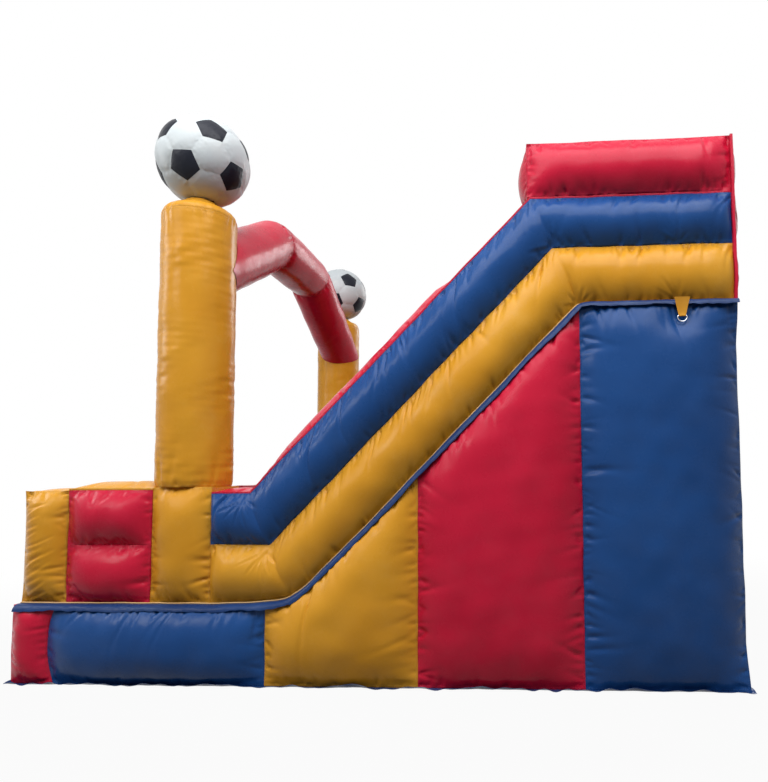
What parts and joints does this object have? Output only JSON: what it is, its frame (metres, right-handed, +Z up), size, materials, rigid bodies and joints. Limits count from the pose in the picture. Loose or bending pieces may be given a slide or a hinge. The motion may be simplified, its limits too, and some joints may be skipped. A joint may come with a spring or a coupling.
{
  "type": "inflatable slide",
  "caption": "Inflatable play slide: air-filled side walls round a landing pit, a climb beside a slide up to a walled platform, and a front arch between columns topped with footballs.",
  "frame": {"origin": "middle of the bounding box at ground level", "axes": "+X from the children's entrance to the tall rear, +Y to the left on going in, +Z up"},
  "size_m": [5.22, 4.0242, 4.1943],
  "materials": {
    "yellow": "glossy coated fabric",
    "red": "glossy coated fabric",
    "blue": "glossy coated fabric",
    "navy": "satin coated fabric",
    "white": "glossy coated fabric with dark five-sided panels",
    "webbing": "woven strap",
    "steel": "plated"
  },
  "bodies": {
    "inflatable": {"ground_sheet": "navy", "front_step_tube": "red", "landing_chamber": "blue", "slope_chamber_low": "yellow", "slope_chamber_high": "red", "tower_chamber": "blue", "landing_baffle": "navy", "slope_baffle_low": "navy", "slope_baffle_high": "navy", "tower_baffle": "navy", "ledge_flap_right": "blue", "ledge_flap_left": "blue", "wall_lower_tube_right": "yellow", "wall_lower_tube_left": "yellow", "wall_upper_tube_right": "blue", "wall_upper_tube_left": "blue", "wall_cap_right": "red", "wall_cap_left": "red", "guard_tube_right": "red", "guard_tube_left": "red", "back_wall": "red", "back_wall_panel": "red", "front_post_right": "yellow", "front_post_left": "yellow", "side_pillow_lower_right": "red", "side_pillow_lower_left": "red", "side_pillow_upper_right": "red", "side_pillow_upper_left": "red", "front_wall_cap_right": "yellow", "front_wall_cap_left": "yellow", "front_pillow_lower_right": "red", "front_pillow_lower_left": "red", "front_pillow_upper_right": "red", "front_pillow_upper_left": "red", "column_base_right": "yellow", "column_base_left": "yellow", "column_right": "yellow", "column_left": "yellow", "football_right": "white", "football_left": "white", "arch": "red", "landing_pad": "blue", "climb_bed": "blue", "slide_bed": "yellow", "platform_pad": "blue", "lane_divider": "red", "climb_step_1": "yellow", "climb_step_2": "yellow", "climb_step_3": "yellow", "climb_step_4": "yellow", "inflation_sleeve": "blue", "zip_tape": "navy", "anchor_tab_right": "webbing", "anchor_tab_left": "webbing"},
    "ring_right": {"anchor_ring_right": "steel"},
    "ring_left": {"anchor_ring_left": "steel"},
    "slider": {"zip_slider": "steel"},
    "flap": {"zip_flap": "blue"}
  },
  "joints": [
    {"name": "ring_hinge_right", "type": "hinge", "parent": "inflatable", "child": "ring_right", "pos_m": [2.064, -2.0021, 2.483], "axis": [-1, 0, 0], "range_deg": [0, 150]},
    {"name": "ring_hinge_left", "type": "hinge", "parent": "inflatable", "child": "ring_left", "pos_m": [2.064, 2.0021, 2.483], "axis": [1, 0, 0], "range_deg": [0, 150]},
    {"name": "zip_slide", "type": "slide", "parent": "inflatable", "child": "slider", "axis": [0, 1, 0], "range_m": [0, 0.536]},
    {"name": "flap_hinge", "type": "hinge", "parent": "inflatable", "child": "flap", "pos_m": [2.4627, -0.9, 0.4568], "axis": [0, -1, 0], "range_deg": [0, 120]}
  ]
}
